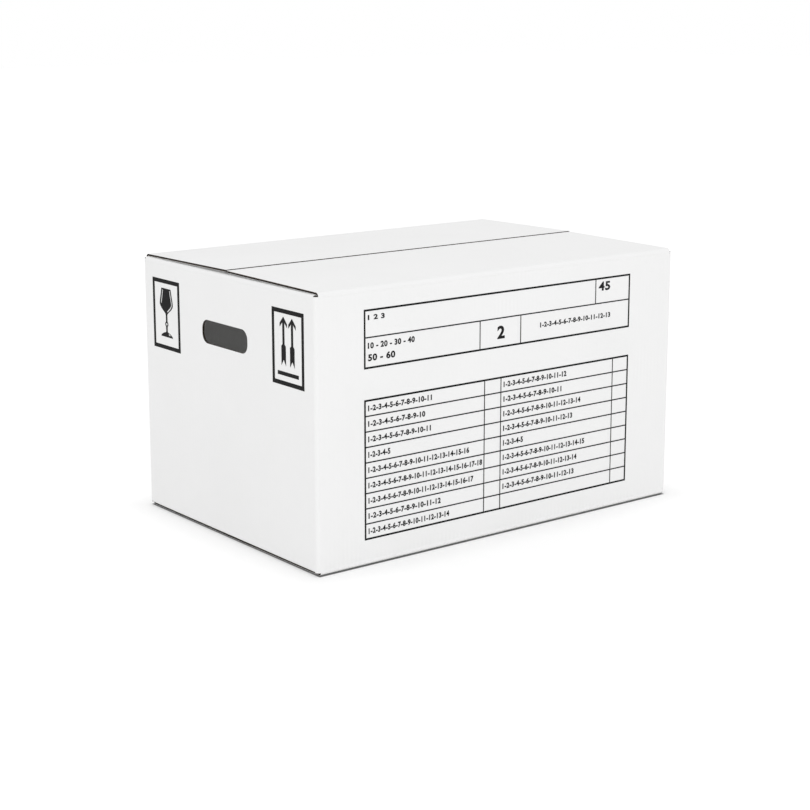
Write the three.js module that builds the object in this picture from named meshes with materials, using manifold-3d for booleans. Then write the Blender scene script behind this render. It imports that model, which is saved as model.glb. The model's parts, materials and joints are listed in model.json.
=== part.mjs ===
// A corrugated board carton: one folded sheet with slots, creases and a glued corner,
// two outer top flaps that open, hand holes in both ends and ink printed on two faces.
import * as THREE from "three";
import { mergeVertices } from "three/addons/utils/BufferGeometryUtils.js";
import Module from "manifold-3d";

const wasm = await Module();
wasm.setup();

// Outer size of the closed carton, in millimetres: X is long, Y is deep and Z is up
const LENGTH = 600;
const DEPTH = 400;
const HEIGHT = 350;

// The board and its folds
const BOARD = 3;
const CORNER_RADIUS = 5;
const CREASE_RADIUS = 4;
const LAYER_GAP = 0.3;

// Slots between neighbouring flaps start where an upright fold's rounding ends, and are this deep
const SLOT_DEPTH = 5;

// Flaps: the outer pair meets at a seam, and the outer top pair stands up a little there,
// the rear flap more than the front one
const SEAM_GAP = 1.2;
const FRONT_SEAM_LIFT = 1.6;
const REAR_SEAM_LIFT = 2.5;
const INNER_FLAP = 200;

// The glued corner: a tab of the end panel lies inside the rear panel
const TAB_WIDTH = 38;
const TAB_TRIM = 10;
const TAB_SLOPE = 12;
const TAB_FOLD_RADIUS = 4;
const GLUE_LINE = 0.2;
const PANEL_SHORTFALL = 0.8;

// Hand holes
const HOLE_LENGTH = 106;
const HOLE_HEIGHT = 31;
const HOLE_RADIUS = 12.5;
const HOLE_DROP = 82.5;

// Print: ink lies on the board as a thin skin
const INK = 0.2;
const FORM_LEFT = -227.3;
const FORM_RIGHT = 218.8;
const OUTER_RULE = 2.4;
const ROW_RULE = 1.6;
const COLUMN_RULE = 1.4;
const HEADER_DROP = 28.9;
const HEADER_UPPER_ROW = 33.5;
const HEADER_LOWER_ROW = 37.5;
const NUMBER_COLUMN = 156.3;
const SIZE_COLUMN = -44.9;
const LABEL_COLUMN = 23.8;
const LIST_TOP = 209.5;
const LIST_BOTTOM = 34.2;
const LIST_ROWS = 9;
const FIRST_TICK_COLUMN = -36.5;
const SECOND_NAME_COLUMN = -8.9;
const SECOND_TICK_COLUMN = 190.6;

// Handling marks on the end panel: a glass and a pair of arrows, each in a frame. Heights are
// measured down from the top of the frame.
const MARK_INSET = 57.4;
const MARK_WIDTH = 68;
const MARK_HEIGHT = 94.4;
const MARK_DROP = 28;
const MARK_SIDE_RULE = 5;
const MARK_END_RULE = 5.4;
const GLASS_DROP = 12;
const KNOP_RADIUS = 3.9;
const KNOP_EYE = 1.7;
const KNOP_DROP = 48;
const GLINT_WIDTH = 1.7;
const ARROW_SPACING = 18.5;
const ARROW_DROP = 9.5;
const ARROW_HEIGHT = 60.5;
const SHAFT_HALF = 2.2;
const HEAD_HALF = 7.8;
const HEAD_HEIGHT = 8.4;
const HEAD_STROKE = 4.8;
const FEATHER_HALF = 4.8;
const FEATHER_HEIGHT = 24;
const FEATHER_SHOULDER = 2.5;
const FEATHER_NOTCH = 7.5;
const BAR_HALF = 22.5;
const BAR_DROP = 77.4;
const BAR_HEIGHT = 4.8;

// Right half of the glass as (distance from its middle, drop from its rim), above and below the knop
const BOWL = [
  [11.8, 0], [13.4, 7], [15.3, 14], [16.6, 20], [15.9, 23.5], [12, 27.6], [6.2, 31.4], [2.5, 34.2], [1.9, 37],
];
const FOOT = [
  [1.9, 57.4], [2.8, 58.8], [6.8, 60], [11, 61.8], [14.2, 63.8], [14.5, 65.5],
];

// Glints left white in the glass, as the middles of narrow strokes
const LEFT_GLINT = [[-8.6, 2.2], [-10.6, 11], [-12.9, 20.6]];
const RIGHT_GLINT = [[8.8, 2.2], [11, 11], [13.2, 20], [10.6, 25], [6, 28.6], [2.4, 31.2]];
const FOOT_GLINT = [[4.6, 61.2], [8.6, 62.6]];

// Colours
const WHITE_BOARD = 0xf1f1f1;
const DARK_INK = 0x262626;

// How finely the meshes are made: straight steps in an arc, and grains of rounding in a millimetre,
// so that faces drawn in one plane stay in it
const ARC_STEPS = 6;
const GRAINS = 1024;

// Turns that carry a flat drawing, with its thickness along Z, into the carton's planes
const AS_DRAWN = new THREE.Matrix4();
// Drawn as (y, z), thick along +X
const ACROSS_LENGTH = new THREE.Matrix4().set(0, 0, 1, 0, 1, 0, 0, 0, 0, 1, 0, 0, 0, 0, 0, 1);
// Drawn as (x, z), thick towards -Y
const ON_FRONT = new THREE.Matrix4().set(1, 0, 0, 0, 0, 0, -1, 0, 0, 1, 0, 0, 0, 0, 0, 1);
// Drawn as (-y, z), thick towards -X
const ON_LEFT_END = new THREE.Matrix4().set(0, 0, -1, 0, -1, 0, 0, 0, 0, 1, 0, 0, 0, 0, 0, 1);
// Turns of a panel about Z, from the front to the other three sides
const TO_FRONT = new THREE.Matrix4();
const TO_RIGHT = new THREE.Matrix4().set(0, -1, 0, 0, 1, 0, 0, 0, 0, 0, 1, 0, 0, 0, 0, 1);
const TO_REAR = new THREE.Matrix4().set(-1, 0, 0, 0, 0, -1, 0, 0, 0, 0, 1, 0, 0, 0, 0, 1);
const TO_LEFT = new THREE.Matrix4().set(0, 1, 0, 0, -1, 0, 0, 0, 0, 0, 1, 0, 0, 0, 0, 1);

const halfLength = LENGTH / 2;
const halfDepth = DEPTH / 2;
const cornerStartX = halfLength - CORNER_RADIUS;
const cornerStartY = halfDepth - CORNER_RADIUS;
const wallTop = HEIGHT - BOARD - LAYER_GAP;
const innerFlapFloor = BOARD + LAYER_GAP;
const outerFlap = halfDepth - SEAM_GAP / 2;
const tabFace = halfDepth - BOARD - GLUE_LINE;
const headerTop = HEIGHT - HEADER_DROP;
const headerMiddle = headerTop - HEADER_UPPER_ROW;
const headerBottom = headerMiddle - HEADER_LOWER_ROW;
const markTop = HEIGHT - MARK_DROP;
const markOffset = halfDepth - MARK_INSET;

// A prism of a drawing, from one height of its thickness to another, turned into place
function prism(drawing, turn, from, to) {
  const settings = { depth: to - from, bevelEnabled: false, curveSegments: ARC_STEPS };
  const geometry = new THREE.ExtrudeGeometry(drawing, settings);
  geometry.translate(0, 0, from).applyMatrix4(turn);
  const places = geometry.attributes.position;
  places.array.forEach((value, i) => {
    places.array[i] = Math.round(value * GRAINS) / GRAINS;
  });
  return solid(geometry);
}

// A solid that can be joined and cut, from a closed geometry
function solid(geometry) {
  const bare = geometry.clone();
  bare.deleteAttribute("normal");
  bare.deleteAttribute("uv");
  const merged = mergeVertices(bare);
  const mesh = new wasm.Mesh({
    numProp: 3,
    vertProperties: new Float32Array(merged.attributes.position.array),
    triVerts: new Uint32Array(merged.index.array),
  });
  return new wasm.Manifold(mesh);
}

// The geometry of a solid
function geometryOf(body) {
  const mesh = body.getMesh();
  const geometry = new THREE.BufferGeometry();
  geometry.setAttribute("position", new THREE.BufferAttribute(mesh.vertProperties, 3));
  geometry.setIndex(new THREE.BufferAttribute(mesh.triVerts, 1));
  geometry.computeVertexNormals();
  return geometry;
}

function named(name, body, material) {
  const mesh = new THREE.Mesh(geometryOf(body), material);
  mesh.name = name;
  return mesh;
}

function rectangle(left, bottom, right, top) {
  const drawing = new THREE.Shape();
  drawing.moveTo(left, bottom);
  drawing.lineTo(right, bottom);
  drawing.lineTo(right, top);
  drawing.lineTo(left, top);
  drawing.closePath();
  return drawing;
}

function roundedRectangle(halfWidth, bottom, top, radius) {
  const drawing = new THREE.Shape();
  drawing.moveTo(-halfWidth + radius, bottom);
  drawing.lineTo(halfWidth - radius, bottom);
  drawing.absarc(halfWidth - radius, bottom + radius, radius, -Math.PI / 2, 0, false);
  drawing.lineTo(halfWidth, top - radius);
  drawing.absarc(halfWidth - radius, top - radius, radius, 0, Math.PI / 2, false);
  drawing.lineTo(-halfWidth + radius, top);
  drawing.absarc(-halfWidth + radius, top - radius, radius, Math.PI / 2, Math.PI, false);
  drawing.lineTo(-halfWidth, bottom + radius);
  drawing.absarc(-halfWidth + radius, bottom + radius, radius, Math.PI, 1.5 * Math.PI, false);
  return drawing;
}

// Section of a long panel and its bottom flap, drawn as (distance in from the outer face, height).
// The panel's top edge is where an outer top flap begins.
function longSection() {
  const r = CREASE_RADIUS;
  const section = new THREE.Shape();
  section.moveTo(0, wallTop);
  section.lineTo(0, r);
  section.absarc(r, r, r, Math.PI, 1.5 * Math.PI, false);
  section.lineTo(outerFlap, 0);
  section.lineTo(outerFlap, BOARD);
  section.lineTo(r, BOARD);
  section.absarc(r, r, r - BOARD, 1.5 * Math.PI, Math.PI, true);
  section.lineTo(BOARD, wallTop);
  section.closePath();
  return section;
}

// Section of an end panel with its bottom flap and its inner top flap
function endSection() {
  const r = CREASE_RADIUS;
  const low = innerFlapFloor;
  const section = new THREE.Shape();
  section.moveTo(0, wallTop - r);
  section.lineTo(0, low + r);
  section.absarc(r, low + r, r, Math.PI, 1.5 * Math.PI, false);
  section.lineTo(INNER_FLAP, low);
  section.lineTo(INNER_FLAP, low + BOARD);
  section.lineTo(r, low + BOARD);
  section.absarc(r, low + r, r - BOARD, 1.5 * Math.PI, Math.PI, true);
  section.lineTo(BOARD, wallTop - r);
  section.absarc(r, wallTop - r, r - BOARD, Math.PI, 0.5 * Math.PI, true);
  section.lineTo(INNER_FLAP, wallTop - BOARD);
  section.lineTo(INNER_FLAP, wallTop);
  section.lineTo(r, wallTop);
  section.absarc(r, wallTop - r, r, 0.5 * Math.PI, Math.PI, false);
  return section;
}

// A panel on one side: its section stands off the origin by the side's half size
function panel(section, half, side, from, to) {
  const place = new THREE.Matrix4().makeTranslation(0, -half, 0).multiply(ACROSS_LENGTH);
  return prism(section, place.premultiply(side), from, to);
}

// An upright fold between two panels, as a quarter of a ring about its centre
function uprightFold(centreX, centreY, radius, start) {
  const end = start + Math.PI / 2;
  const plan = new THREE.Shape();
  plan.absarc(centreX, centreY, radius, start, end, false);
  plan.absarc(centreX, centreY, radius - BOARD, end, start, true);
  plan.closePath();
  return prism(plan, AS_DRAWN, SLOT_DEPTH, HEIGHT - SLOT_DEPTH);
}

// The rear panel's raw edge, which stands over the fold of the end panel at the glued corner
function rawEdge() {
  const strip = rectangle(cornerStartX, halfDepth - BOARD, halfLength - PANEL_SHORTFALL, halfDepth);
  return prism(strip, AS_DRAWN, SLOT_DEPTH, HEIGHT - SLOT_DEPTH);
}

// The glued tab: its ends slope so that they clear the flaps
function glueTab() {
  const root = halfLength - TAB_FOLD_RADIUS;
  const tip = halfLength - BOARD - TAB_WIDTH;
  const low = innerFlapFloor + BOARD + TAB_TRIM;
  const high = wallTop - BOARD - TAB_TRIM;
  const outline = new THREE.Shape();
  outline.moveTo(tip, low + TAB_SLOPE);
  outline.lineTo(root, low);
  outline.lineTo(root, high);
  outline.lineTo(tip, high - TAB_SLOPE);
  outline.closePath();
  return prism(outline, ON_FRONT, -tabFace, BOARD - tabFace);
}

function handHoles() {
  const centre = HEIGHT - HOLE_DROP;
  const bottom = centre - HOLE_HEIGHT / 2;
  const top = centre + HOLE_HEIGHT / 2;
  const drawing = roundedRectangle(HOLE_LENGTH / 2, bottom, top, HOLE_RADIUS);
  return prism(drawing, ACROSS_LENGTH, -LENGTH, LENGTH);
}

// Everything that is folded and stays shut: four walls, bottom flaps, inner top flaps and tab
function cartonSheet() {
  const tabFoldY = tabFace - TAB_FOLD_RADIUS;
  const pieces = [
    panel(longSection(), halfDepth, TO_FRONT, -cornerStartX, cornerStartX),
    panel(longSection(), halfDepth, TO_REAR, -cornerStartX, cornerStartX),
    panel(endSection(), halfLength, TO_LEFT, -cornerStartY, cornerStartY),
    panel(endSection(), halfLength, TO_RIGHT, -cornerStartY, tabFoldY),
    uprightFold(-cornerStartX, -cornerStartY, CORNER_RADIUS, Math.PI),
    uprightFold(cornerStartX, -cornerStartY, CORNER_RADIUS, 1.5 * Math.PI),
    uprightFold(-cornerStartX, cornerStartY, CORNER_RADIUS, 0.5 * Math.PI),
    uprightFold(halfLength - TAB_FOLD_RADIUS, tabFoldY, TAB_FOLD_RADIUS, 0),
    rawEdge(),
    glueTab(),
  ];
  const sheet = pieces.reduce((joined, piece) => joined.add(piece));
  return sheet.subtract(handHoles());
}

// An outer top flap, drawn as (distance from its hinge line, height above it). It starts at the
// fold, which is round on the outside, and rises evenly to the seam.
function outerTopFlap(lift) {
  const r = BOARD;
  const section = new THREE.Shape();
  section.moveTo(0, -BOARD);
  section.lineTo(outerFlap, lift - BOARD);
  section.lineTo(outerFlap, lift);
  section.lineTo(r, (lift * r) / outerFlap);
  section.quadraticCurveTo(0, 0, 0, -BOARD);
  return prism(section, ACROSS_LENGTH, -cornerStartX, cornerStartX);
}

// Places each flap's hinge line on the outer edge of its fold
function hinged(name, side, lift, material) {
  const hinge = new THREE.Group();
  hinge.position.set(0, side * halfDepth, HEIGHT);
  hinge.rotation.z = side > 0 ? Math.PI : 0;
  hinge.add(named(name, outerTopFlap(lift), material));
  return hinge;
}

// A ruled form: an outline with a window for each cell. A cell is a list of left, bottom, right, top.
function ruledForm(left, bottom, right, top, cells) {
  const half = OUTER_RULE / 2;
  const outline = rectangle(left - half, bottom - half, right + half, top + half);
  let form = prism(outline, ON_FRONT, halfDepth, halfDepth + INK);
  for (const cell of cells) {
    form = form.subtract(prism(rectangle(...cell), ON_FRONT, halfDepth - INK, halfDepth + 2 * INK));
  }
  return form;
}

// Cells of one row, between upright rules at the given places
function rowCells(bottom, top, uprights) {
  const cells = [];
  for (let i = 0; i < uprights.length - 1; i += 1) {
    const leftHalf = i === 0 ? OUTER_RULE / 2 : COLUMN_RULE / 2;
    const rightHalf = i === uprights.length - 2 ? OUTER_RULE / 2 : COLUMN_RULE / 2;
    cells.push([uprights[i] + leftHalf, bottom, uprights[i + 1] - rightHalf, top]);
  }
  return cells;
}

function headerForm() {
  const edge = OUTER_RULE / 2;
  const rule = ROW_RULE / 2;
  const upperUprights = [FORM_LEFT, NUMBER_COLUMN, FORM_RIGHT];
  const lowerUprights = [FORM_LEFT, SIZE_COLUMN, LABEL_COLUMN, FORM_RIGHT];
  const upper = rowCells(headerMiddle + rule, headerTop - edge, upperUprights);
  const lower = rowCells(headerBottom + edge, headerMiddle - rule, lowerUprights);
  return ruledForm(FORM_LEFT, headerBottom, FORM_RIGHT, headerTop, [...upper, ...lower]);
}

function listForm() {
  const uprights = [FORM_LEFT, FIRST_TICK_COLUMN, SECOND_NAME_COLUMN, SECOND_TICK_COLUMN, FORM_RIGHT];
  const pitch = (LIST_TOP - LIST_BOTTOM) / LIST_ROWS;
  const cells = [];
  for (let row = 0; row < LIST_ROWS; row += 1) {
    const bottomHalf = row === 0 ? OUTER_RULE / 2 : ROW_RULE / 2;
    const topHalf = row === LIST_ROWS - 1 ? OUTER_RULE / 2 : ROW_RULE / 2;
    const bottom = LIST_BOTTOM + row * pitch + bottomHalf;
    const top = LIST_BOTTOM + (row + 1) * pitch - topHalf;
    cells.push(...rowCells(bottom, top, uprights));
  }
  return ruledForm(FORM_LEFT, LIST_BOTTOM, FORM_RIGHT, LIST_TOP, cells);
}

function onEnd(drawing) {
  return prism(drawing, ON_LEFT_END, halfLength, halfLength + INK);
}

function markFrame(centre) {
  const half = MARK_WIDTH / 2;
  const inner = half - MARK_SIDE_RULE;
  const bottom = markTop - MARK_HEIGHT;
  const drawing = rectangle(centre - half, bottom, centre + half, markTop);
  const low = bottom + MARK_END_RULE;
  const high = markTop - MARK_END_RULE;
  drawing.holes.push(rectangle(centre - inner, low, centre + inner, high));
  return onEnd(drawing);
}

// Smooth points through a few given ones
function smoothThrough(points) {
  const curve = new THREE.SplineCurve(points.map(([x, y]) => new THREE.Vector2(x, y)));
  return curve.getPoints(ARC_STEPS * 3).map(({ x, y }) => [x, y]);
}

// A closed drawing through points given as (across, drop), placed from a middle and a rim height
function dropDrawing(points, centre, rim) {
  const drawing = new THREE.Shape();
  points.forEach(([across, drop], i) => {
    if (i === 0) {
      drawing.moveTo(centre + across, rim - drop);
    } else {
      drawing.lineTo(centre + across, rim - drop);
    }
  });
  drawing.closePath();
  return drawing;
}

// A narrow stroke along points, half its width to each side of them
function strokeAlong(points) {
  const middles = smoothThrough(points);
  const sides = middles.map(([x, y], i) => {
    const before = middles[Math.max(i - 1, 0)];
    const after = middles[Math.min(i + 1, middles.length - 1)];
    const run = Math.hypot(after[0] - before[0], after[1] - before[1]);
    const acrossX = ((after[1] - before[1]) / run) * (GLINT_WIDTH / 2);
    const acrossY = ((before[0] - after[0]) / run) * (GLINT_WIDTH / 2);
    return { near: [x + acrossX, y + acrossY], far: [x - acrossX, y - acrossY] };
  });
  return [...sides.map((side) => side.near), ...sides.toReversed().map((side) => side.far)];
}

// Points of an arc as (across, drop) about a middle on the glass's own centre line
function dropArc(drop, radius, start, end) {
  const points = [];
  for (let i = 0; i <= ARC_STEPS * 2; i += 1) {
    const angle = start + ((end - start) * i) / (ARC_STEPS * 2);
    points.push([radius * Math.cos(angle), drop + radius * Math.sin(angle)]);
  }
  return points;
}

// A stemmed glass: the right half's points mirrored for the left half, less its glints
function glassMark(centre) {
  const rim = markTop - GLASS_DROP;
  const neck = Math.acos(BOWL.at(-1)[0] / KNOP_RADIUS);
  const knop = dropArc(KNOP_DROP, KNOP_RADIUS, -neck, neck);
  const right = [...smoothThrough(BOWL), ...knop, ...smoothThrough(FOOT)];
  const left = right.toReversed().map(([across, drop]) => [-across, drop]);
  const outline = onEnd(dropDrawing([...right, ...left], centre, rim));
  const glints = [LEFT_GLINT, RIGHT_GLINT, FOOT_GLINT].map(strokeAlong);
  glints.push(dropArc(KNOP_DROP, KNOP_EYE, 0, 2 * Math.PI).slice(1));
  const cutters = glints.map((glint) => throughInk(dropDrawing(glint, centre, rim)));
  return cutters.reduce((glass, cutter) => glass.subtract(cutter), outline);
}

// A cutter that goes through the ink on the end
function throughInk(drawing) {
  return prism(drawing, ON_LEFT_END, halfLength - INK, halfLength + 2 * INK);
}

// An upward arrow with a swept head and a notched feather
function arrowMark(centre) {
  const top = markTop - ARROW_DROP;
  const bottom = top - ARROW_HEIGHT;
  const headFoot = top - HEAD_HEIGHT;
  const underHead = top - HEAD_STROKE - (SHAFT_HALF * HEAD_HEIGHT) / HEAD_HALF;
  const featherTop = bottom + FEATHER_HEIGHT;
  const right = [
    [HEAD_HALF, headFoot],
    [HEAD_HALF, headFoot - HEAD_STROKE],
    [SHAFT_HALF, underHead],
    [SHAFT_HALF, featherTop + FEATHER_SHOULDER],
    [FEATHER_HALF, featherTop],
    [FEATHER_HALF, bottom],
  ];
  const drawing = new THREE.Shape();
  drawing.moveTo(centre, top);
  for (const [across, height] of right) {
    drawing.lineTo(centre + across, height);
  }
  drawing.lineTo(centre, bottom + FEATHER_NOTCH);
  for (const [across, height] of right.toReversed()) {
    drawing.lineTo(centre - across, height);
  }
  drawing.closePath();
  return onEnd(drawing);
}

function barMark(centre) {
  const top = markTop - BAR_DROP;
  return onEnd(rectangle(centre - BAR_HALF, top - BAR_HEIGHT, centre + BAR_HALF, top));
}

const board = new THREE.MeshStandardMaterial({ color: WHITE_BOARD, roughness: 0.75, metalness: 0 });
const ink = new THREE.MeshStandardMaterial({ color: DARK_INK, roughness: 0.6, metalness: 0 });

const carton = new THREE.Group();
carton.add(named("carton_sheet", cartonSheet(), board));
carton.add(hinged("front_top_flap", -1, FRONT_SEAM_LIFT, board));
carton.add(hinged("rear_top_flap", 1, REAR_SEAM_LIFT, board));

const print = new THREE.Group();
print.add(named("header_form", headerForm(), ink));
print.add(named("list_form", listForm(), ink));
print.add(named("glass_mark_frame", markFrame(-markOffset), ink));
print.add(named("glass_mark", glassMark(-markOffset), ink));
print.add(named("arrow_mark_frame", markFrame(markOffset), ink));
print.add(named("arrow_mark_left", arrowMark(markOffset - ARROW_SPACING / 2), ink));
print.add(named("arrow_mark_right", arrowMark(markOffset + ARROW_SPACING / 2), ink));
print.add(named("arrow_mark_bar", barMark(markOffset), ink));
carton.add(print);

export default carton;
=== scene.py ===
"""Looks of a white corrugated board carton: board with real flutes at its cuts, folds, and printed ink."""
import json
import math

import bpy
import numpy as np
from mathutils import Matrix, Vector
from mathutils.geometry import delaunay_2d_cdt


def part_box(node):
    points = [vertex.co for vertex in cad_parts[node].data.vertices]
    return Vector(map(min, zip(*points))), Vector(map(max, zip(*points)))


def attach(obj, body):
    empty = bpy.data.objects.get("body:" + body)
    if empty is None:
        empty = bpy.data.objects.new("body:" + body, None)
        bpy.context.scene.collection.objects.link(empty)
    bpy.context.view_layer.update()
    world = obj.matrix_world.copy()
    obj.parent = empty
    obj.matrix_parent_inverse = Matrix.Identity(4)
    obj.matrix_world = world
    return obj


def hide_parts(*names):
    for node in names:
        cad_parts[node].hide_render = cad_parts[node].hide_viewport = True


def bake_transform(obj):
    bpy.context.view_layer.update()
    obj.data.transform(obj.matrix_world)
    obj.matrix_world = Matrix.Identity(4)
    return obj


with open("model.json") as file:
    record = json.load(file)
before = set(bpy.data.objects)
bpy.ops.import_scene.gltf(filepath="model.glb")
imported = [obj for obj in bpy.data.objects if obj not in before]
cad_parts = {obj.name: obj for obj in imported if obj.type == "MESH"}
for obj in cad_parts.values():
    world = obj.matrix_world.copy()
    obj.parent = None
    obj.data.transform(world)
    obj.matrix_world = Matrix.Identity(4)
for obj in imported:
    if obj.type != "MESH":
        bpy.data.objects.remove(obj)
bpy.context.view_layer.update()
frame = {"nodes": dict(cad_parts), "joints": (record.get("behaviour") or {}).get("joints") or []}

# Lengths below are millimetres, and a mesh is made in metres
MM = 0.001

# The carton as the frame gives it
SHEET_HIGH = np.array(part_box("carton_sheet")[1]) / MM
FLAP_HIGH = np.array(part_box("front_top_flap")[1]) / MM
HINGE = np.array(frame["joints"][0]["pos_m"]) / MM
HALF_LENGTH = SHEET_HIGH[0]
HALF_DEPTH = SHEET_HIGH[1]
HEIGHT = HINGE[2]
CREASE_TOP = SHEET_HIGH[2]
PANEL_HALF_X = FLAP_HIGH[0]
CORNER_RADIUS = HALF_LENGTH - PANEL_HALF_X
PANEL_HALF_Y = HALF_DEPTH - CORNER_RADIUS
SEAM_HALF = -FLAP_HIGH[1]
SEAM_LIFT = [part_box(side + "_top_flap")[1][2] / MM - HEIGHT for side in ("front", "rear")]
BOARD = 3.0
LAYER_GAP = HEIGHT - BOARD - CREASE_TOP
GLUE_GAP = 0.2
CREASE_RADIUS = 4.0
TOP_FOLD_RADIUS = 5.0
SLOT_DEPTH = 5.0
INNER_FLAP = 200.0
OUTER_FLAP = HALF_DEPTH - SEAM_HALF

# The bottom flaps bow a little, so that the carton stands on their seam and its edges are just clear
EDGE_CLEAR = 0.6
LOW_SLOT = CREASE_RADIUS + EDGE_CLEAR
LOW_FOLD = BOARD + LAYER_GAP + EDGE_CLEAR

# The glued corner
TAB_WIDTH = 38.0
TAB_TRIM = 10.0
TAB_SLOPE = 12.0
TAB_FOLD_RADIUS = 4.0
TAB_FACE = HALF_DEPTH - BOARD - GLUE_GAP
PANEL_SHORTFALL = 0.8

# Hand holes, and the band of the end panel, above and below the centre, that is cut round them
HOLE_HALF_LENGTH = 53.0
HOLE_HALF_HEIGHT = 15.5
HOLE_RADIUS = 12.5
HOLE_CENTRE_Z = 267.5
HOLE_MARGIN = 22.0
HOLE_ARC_STEPS = 24
ARC_SLACK = 0.05

# Flutes and paper: a cut goes in between the papers, and the fluted paper lies just behind it
FLUTE_PITCH = 6.5
STEPS_IN_FLUTE = 6
LINER = 0.3
MEDIUM = 0.3
GLUE_LINE = 0.015
CUT_DEPTH = 2.6
MEDIUM_SET_BACK = 0.12

# Scored grooves beside the folds, each at a distance from the fold's end
GROOVE_DEPTH = 0.22
GROOVE_WIDTH = 2.6
GROOVE_OFFSET = 2.5
PANEL_GROOVE_LOW = 3.0
PANEL_GROOVE_HIGH = 2.0

# Fineness of the meshes
FOLD_STEPS = 12
FACE_COLUMNS = 25
SAME = 1e-6

# Finishes of the board's faces, in the order of its material slots; the cut's is painted dark, as painted
# shade
OUTSIDE, INSIDE, CUT, FLUTING = 0, 1, 2, 3


# Board shapes

UPWARD = np.array([0.0, 0.0, 1.0])
ALONG = np.array([1.0, 0.0, 0.0])
BACKWARD = np.array([0.0, 1.0, 0.0])


def arc(centre, radius, start, end, steps):
    """Points on an arc and their outward normals: the centre plus the radius times the cosine and the
    sine of even steps from one angle in degrees to another."""
    angle = np.radians(np.linspace(start, end, steps + 1))
    normal = np.stack([np.cos(angle), np.sin(angle)], -1)
    return np.array(centre) + radius * normal, normal


def path(*stretches):
    """One path from stretches, each a pair of points and normals. Where a stretch starts on the last one's
    end, that point is kept once."""
    points = np.concatenate([stretch[0] for stretch in stretches])
    normals = np.concatenate([stretch[1] for stretch in stretches])
    keep = np.append(True, np.linalg.norm(np.diff(points, axis=0), axis=1) > SAME)
    return points[keep], normals[keep]


def straight(start, end, normal, grooves=()):
    """A straight stretch with one outward normal, and scored grooves at distances from its start. Each
    groove dips by its depth times half of one plus the cosine of the share of half its width."""
    start, end, normal = (np.array(value, float) for value in (start, end, normal))
    length = np.linalg.norm(end - start)
    middles = np.array(grooves, float)[:, None]
    spread = GROOVE_WIDTH * np.linspace(-0.5, 0.5, 5)
    places = np.concatenate([[0.0, length], (middles + spread).ravel()])
    places = np.unique(np.clip(places, 0, length))
    near = np.clip(np.abs(places - middles) / (GROOVE_WIDTH / 2), 0, 1)
    dip = (GROOVE_DEPTH * (0.5 + 0.5 * np.cos(np.pi * near))).sum(0)
    points = start + (end - start) / length * places[:, None]
    return points - normal * dip[:, None], np.tile(normal, (len(places), 1))


def turned(points, quarter_turns):
    """Points turned about Z by quarter turns, which carry a front panel to the other sides: each turn
    swaps X and Y and changes the sign of the new X."""
    out = np.array(points, float)
    for _ in range(quarter_turns % 4):
        out = np.stack([-out[..., 1], out[..., 0], out[..., 2]], -1)
    return out


def medium_place(across):
    """How deep in the board the fluted paper lies, as a share from the outer face: one half plus a swing
    times the sine of the way across the flutes, once round in each pitch."""
    swing = 0.5 - (LINER + MEDIUM / 2 + GLUE_LINE) / BOARD
    return 0.5 + swing * np.sin(2 * np.pi * across / FLUTE_PITCH)


def flute_lines(low, high):
    """Even places across the flutes, with a fixed count in each pitch, so that they draw the wave."""
    count = max(2, int(round((high - low) / FLUTE_PITCH * STEPS_IN_FLUTE)))
    return np.linspace(low, high, count + 1)


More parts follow.
